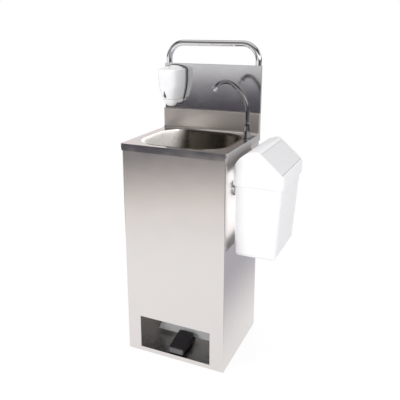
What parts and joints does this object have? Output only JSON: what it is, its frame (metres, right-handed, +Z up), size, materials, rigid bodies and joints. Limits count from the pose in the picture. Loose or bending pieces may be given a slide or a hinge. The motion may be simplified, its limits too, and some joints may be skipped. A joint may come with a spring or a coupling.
{
  "type": "hand wash station",
  "caption": "Free-standing stainless steel hand wash sink with foot pump, swan-neck tap, soap dispenser, splashback, push handle, rear wheels and a side bin.",
  "frame": {"origin": "on the floor, below the centre of the cabinet", "axes": "+Z up from the floor, +Y towards the splashback at the rear, +X to the right seen from the front"},
  "size_m": [0.6235, 0.447, 1.2526],
  "materials": {
    "steel": "satin",
    "polished": "polished",
    "zinc": "satin",
    "white_plastic": "gloss",
    "bin_plastic": "satin",
    "black_rubber": "matte",
    "grey_plastic": "matte",
    "dark_window": "gloss",
    "natural_plastic": "satin",
    "blue_plastic": "satin"
  },
  "bodies": {
    "station": {"cabinet_wrap": "steel", "base_plate": "steel", "recess_guard": "steel", "can_shelf": "steel", "foot_pads": "black_rubber", "foot_nuts": "zinc", "basin_top": "steel", "basin_bowl": "steel", "drain_flange": "polished", "drain_strainer": "polished", "drain_gasket": "black_rubber", "drain_nut": "white_plastic", "waste_coupling": "white_plastic", "waste_pipe": "white_plastic", "splashback": "steel", "push_handle": "polished", "handle_clamps": "steel", "clamp_nuts": "zinc", "tap_body": "polished", "tap_gasket": "black_rubber", "tap_nut": "polished", "pump_base": "grey_plastic", "pump_bellows": "black_rubber", "pump_spring": "zinc", "treadle_pin": "zinc", "suction_pipe": "natural_plastic", "supply_pipe": "natural_plastic", "pipe_clips": "grey_plastic", "shelf_grommets": "black_rubber", "axle_brackets": "steel", "wheel_axle": "zinc", "axle_caps": "black_rubber", "soap_back_plate": "grey_plastic", "soap_screws": "zinc", "soap_bottle": "natural_plastic", "soap_pump": "natural_plastic", "soap_hinge_pin": "zinc", "soap_skirt": "white_plastic", "bin_bracket": "steel", "bracket_screws": "zinc"},
    "spout_arm": {"spout": "polished", "spout_outlet": "polished"},
    "pedal": {"treadle": "grey_plastic", "pedal_pad": "black_rubber"},
    "fresh_can_set": {"fresh_can": "natural_plastic", "fresh_can_cap": "blue_plastic"},
    "waste_can_set": {"waste_can": "natural_plastic", "waste_funnel": "blue_plastic"},
    "left_wheel": {"wheel_hub_left": "grey_plastic", "wheel_tyre_left": "black_rubber"},
    "right_wheel": {"wheel_hub_right": "grey_plastic", "wheel_tyre_right": "black_rubber"},
    "soap_hood": {"soap_cover": "white_plastic", "level_window": "dark_window"},
    "soap_press": {"soap_lever": "white_plastic"},
    "bin_tub": {"bin_body": "bin_plastic"},
    "bin_top": {"bin_lid": "bin_plastic"},
    "bin_swing": {"bin_flap": "bin_plastic"}
  },
  "joints": [
    {"name": "treadle_press", "type": "hinge", "parent": "station", "child": "pedal", "pos_m": [0.002, -0.1723, 0.03], "axis": [-1, 0, 0], "range_deg": [0, 9], "stiffness_Nm_per_rad": 3, "springref_deg": -17.19, "deforming": ["pump_bellows", "pump_spring"]},
    {"name": "spout_swivel", "type": "hinge", "parent": "station", "child": "spout_arm", "pos_m": [0.199, 0.0705, 0.92], "axis": [0, 0, 1], "range_deg": [-45, 60]},
    {"name": "soap_push", "type": "hinge", "parent": "station", "child": "soap_press", "pos_m": [-0.162, 0.14415, 1.0038], "axis": [1, 0, 0], "range_deg": [0, 8], "stiffness_Nm_per_rad": 0.2, "springref_deg": -8.59},
    {"name": "soap_cover_open", "type": "hinge", "parent": "station", "child": "soap_hood", "pos_m": [-0.162, 0.17155, 1.146], "axis": [-1, 0, 0], "range_deg": [0, 80]},
    {"name": "bin_lift", "type": "slide", "parent": "station", "child": "bin_tub", "axis": [0, 0, 1], "range_m": [0, 0.03]},
    {"name": "bin_lid_lift", "type": "slide", "parent": "bin_tub", "child": "bin_top", "axis": [0, 0, 1], "range_m": [0, 0.06]},
    {"name": "bin_flap_swing", "type": "hinge", "parent": "bin_top", "child": "bin_swing", "pos_m": [0.36255, -0.002, 0.83623], "axis": [0, 1, 0], "range_deg": [0, 65]},
    {"name": "left_wheel_spin", "type": "hinge", "parent": "station", "child": "left_wheel", "pos_m": [-0.162, 0.1885, 0.032], "axis": [1, 0, 0], "continuous": true},
    {"name": "right_wheel_spin", "type": "hinge", "parent": "station", "child": "right_wheel", "pos_m": [0.162, 0.1885, 0.032], "axis": [1, 0, 0], "continuous": true},
    {"name": "fresh_can_out", "type": "slide", "parent": "station", "child": "fresh_can_set", "axis": [0, 1, 0], "range_m": [0, 0.25]},
    {"name": "waste_can_out", "type": "slide", "parent": "station", "child": "waste_can_set", "axis": [0, 1, 0], "range_m": [0, 0.25]}
  ]
}
